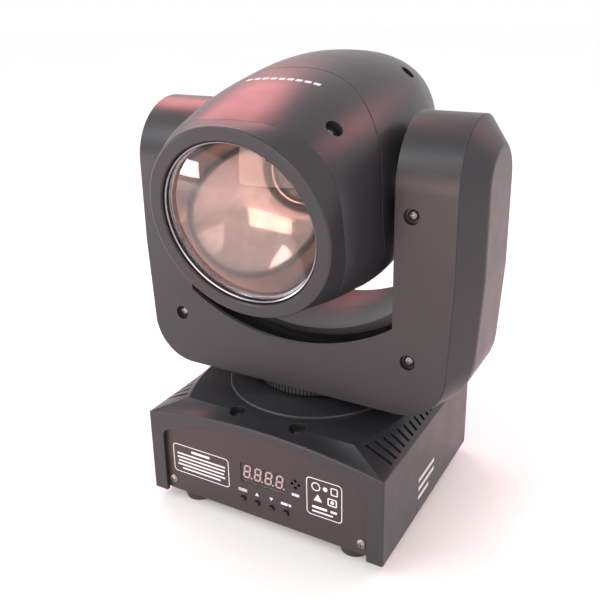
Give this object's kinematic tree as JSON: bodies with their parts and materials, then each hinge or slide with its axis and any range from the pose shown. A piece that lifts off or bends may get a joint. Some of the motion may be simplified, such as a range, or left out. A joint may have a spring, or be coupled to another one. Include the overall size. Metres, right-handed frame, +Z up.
{
  "type": "moving head light",
  "caption": "Compact stage light: a lamp head with one large lens tilts in a two-armed yoke that pans on a square base with a display panel.",
  "frame": {"origin": "on the pan axis, at the level of the feet's soles", "axes": "+Z up; the front, with the control panel and the lens, towards -Y"},
  "size_m": [0.226, 0.1873, 0.2752],
  "materials": {
    "shell_plastic": "fine texture, satin",
    "panel_paint": "satin, printed",
    "rubber": "matte",
    "zinc_screw": "blackened zinc",
    "steel_sheet": "galvanised",
    "steel": "ground",
    "lens_glass": "polished",
    "bright_rim": "turned",
    "display_glass": "smoked",
    "display_body": "matte",
    "button_plastic": "gloss",
    "circuit_board": "solder mask",
    "socket_plastic": "gloss",
    "socket_metal": "nickel plated",
    "aluminium": "extruded",
    "belt_rubber": "moulded",
    "motor_paint": "satin",
    "fan_plastic": "matte",
    "barrel_paint": "matte black",
    "light_guide_glass": "polished"
  },
  "bodies": {
    "base": {"base_shell": "shell_plastic", "base_bottom_plate": "steel_sheet", "rubber_feet": "rubber", "foot_screws": "zinc_screw", "top_screws": "zinc_screw", "control_panel": "panel_paint", "panel_screws": "zinc_screw", "display_window": "display_glass", "display_module": "display_body", "control_board": "circuit_board", "rear_panel": "panel_paint", "power_inlet": "socket_plastic", "fuse_holder": "socket_plastic", "dmx_in_socket": "socket_metal", "dmx_out_socket": "socket_metal", "power_supply": "circuit_board", "main_board": "circuit_board", "pan_disc": "shell_plastic", "bearing_carrier": "aluminium", "pan_bearing": "steel", "pan_motor": "motor_paint", "pan_belt": "belt_rubber"},
    "button_menu": {"button_menu": "button_plastic"},
    "button_down": {"button_down": "button_plastic"},
    "button_up": {"button_up": "button_plastic"},
    "button_enter": {"button_enter": "button_plastic"},
    "pan_motor_pulley": {"pan_motor_pulley": "aluminium"},
    "yoke": {"pan_tube": "steel", "pan_pulley": "aluminium", "pan_collar": "shell_plastic", "yoke_frame": "steel_sheet", "yoke_front_cover": "shell_plastic", "yoke_rear_cover": "shell_plastic", "side_cover_left": "shell_plastic", "side_cover_right": "shell_plastic", "yoke_screws": "zinc_screw", "tilt_bearing_left": "steel", "tilt_bearing_right": "steel", "driver_board": "circuit_board", "tilt_motor": "motor_paint", "tilt_belt": "belt_rubber"},
    "tilt_motor_pulley": {"tilt_motor_pulley": "aluminium"},
    "head": {"front_shell": "shell_plastic", "rear_shell": "shell_plastic", "bezel_ring": "shell_plastic", "lens": "lens_glass", "lens_ring": "bright_rim", "head_screws": "zinc_screw", "optical_barrel": "barrel_paint", "light_guide": "light_guide_glass", "guide_holder": "barrel_paint", "led_board": "aluminium", "heatsink": "aluminium", "fan_frame": "fan_plastic", "head_chassis": "steel_sheet", "tilt_hub_left": "steel", "tilt_hub_right": "steel", "tilt_pulley": "aluminium"},
    "fan_rotor": {"fan_rotor": "fan_plastic"}
  },
  "joints": [
    {"name": "pan", "type": "hinge", "parent": "base", "child": "yoke", "pos_m": [0, 0, 0.08], "axis": [0, 0, 1], "range_deg": [-270, 270]},
    {"name": "tilt", "type": "hinge", "parent": "yoke", "child": "head", "pos_m": [0, 0, 0.212], "axis": [-1, 0, 0], "range_deg": [-3.8, 206.2]},
    {"name": "pan_motor_spin", "type": "hinge", "parent": "base", "child": "pan_motor_pulley", "pos_m": [-0.052, 0.008, 0.053], "axis": [0, 0, 1], "range_deg": [-1220, 1220]},
    {"name": "tilt_motor_spin", "type": "hinge", "parent": "yoke", "child": "tilt_motor_pulley", "pos_m": [0.076, 0, 0.146], "axis": [-1, 0, 0], "range_deg": [-16, 620]},
    {"name": "fan_spin", "type": "hinge", "parent": "head", "child": "fan_rotor", "pos_m": [0, 0, 0.212], "axis": [0, 0.981, 0.1942], "continuous": true},
    {"name": "button_menu_press", "type": "slide", "parent": "base", "child": "button_menu", "axis": [0, 1, 0], "range_m": [0, 0.0008], "stiffness_N_per_m": 400, "springref_m": -0.0008},
    {"name": "button_down_press", "type": "slide", "parent": "base", "child": "button_down", "axis": [0, 1, 0], "range_m": [0, 0.0008], "stiffness_N_per_m": 400, "springref_m": -0.0008},
    {"name": "button_up_press", "type": "slide", "parent": "base", "child": "button_up", "axis": [0, 1, 0], "range_m": [0, 0.0008], "stiffness_N_per_m": 400, "springref_m": -0.0008},
    {"name": "button_enter_press", "type": "slide", "parent": "base", "child": "button_enter", "axis": [0, 1, 0], "range_m": [0, 0.0008], "stiffness_N_per_m": 400, "springref_m": -0.0008}
  ],
  "couplings": [
    {"joint": "pan_motor_spin", "follows": "pan", "ratio": 4.5},
    {"joint": "tilt_motor_spin", "follows": "tilt", "ratio": 3}
  ]
}
